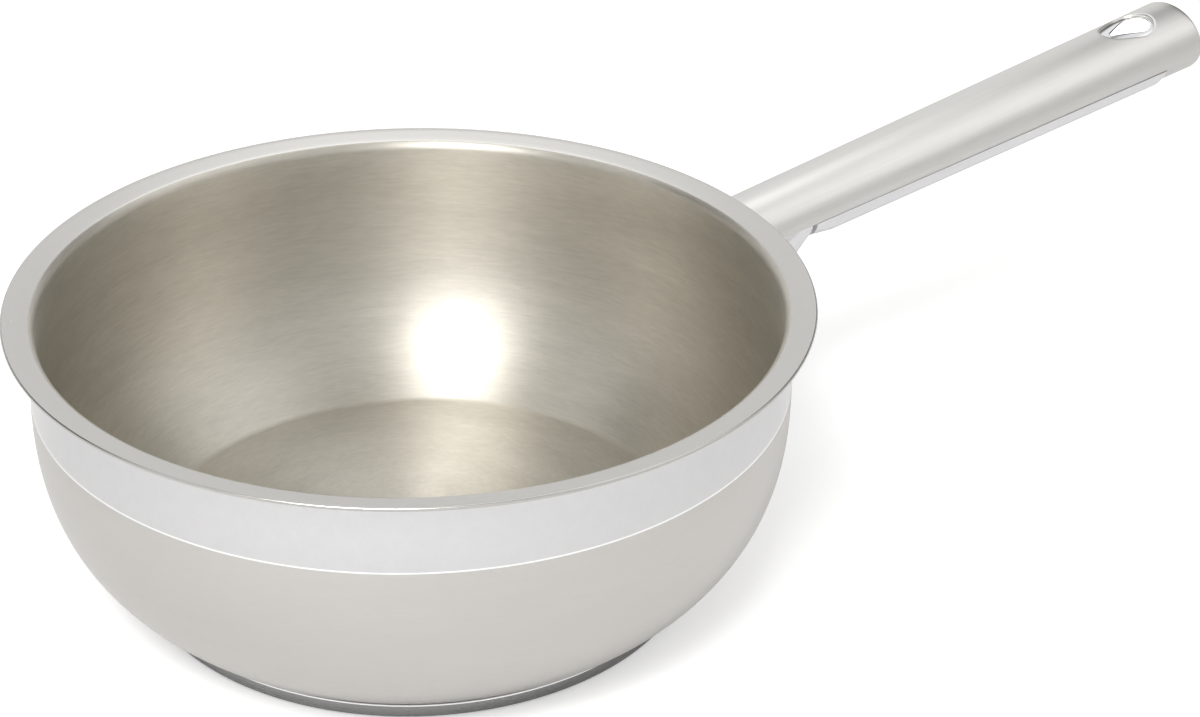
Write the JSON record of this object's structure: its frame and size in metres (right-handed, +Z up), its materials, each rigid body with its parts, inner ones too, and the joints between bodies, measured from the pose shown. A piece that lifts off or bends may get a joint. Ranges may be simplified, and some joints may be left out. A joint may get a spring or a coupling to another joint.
{
  "type": "saucier pan",
  "caption": "Round-bellied steel pan with a flared pouring rim, an encapsulated heat-spreading base and a long hollow handle with a drop-shaped hanging hole.",
  "frame": {"origin": "centre of the base's underside, on the surface that the pan stands on", "axes": "+X from the bowl's axis along the handle, +Y across the handle, +Z up out of the bowl's mouth"},
  "size_m": [0.4793, 0.26, 0.1278],
  "materials": {
    "satin_steel": "satin outside with a polished band under the rim, brushed round the inside",
    "aluminium_core": "plain rolled disc",
    "base_steel": "turned, darker than the bowl",
    "handle_steel": "brushed lengthwise",
    "polished_steel": "polished",
    "weld_metal": "dressed weld"
  },
  "bodies": {
    "root": {"pan_bowl": "satin_steel", "base_core": "aluminium_core", "base_cap": "base_steel", "handle_shell": "handle_steel", "handle_underplate": "polished_steel", "handle_bracket": "polished_steel", "hang_hole_liner": "polished_steel", "root_weld": "weld_metal", "seam_welds": "weld_metal", "foot_spot_welds": "weld_metal", "tongue_spot_welds": "weld_metal"}
  },
  "joints": []
}
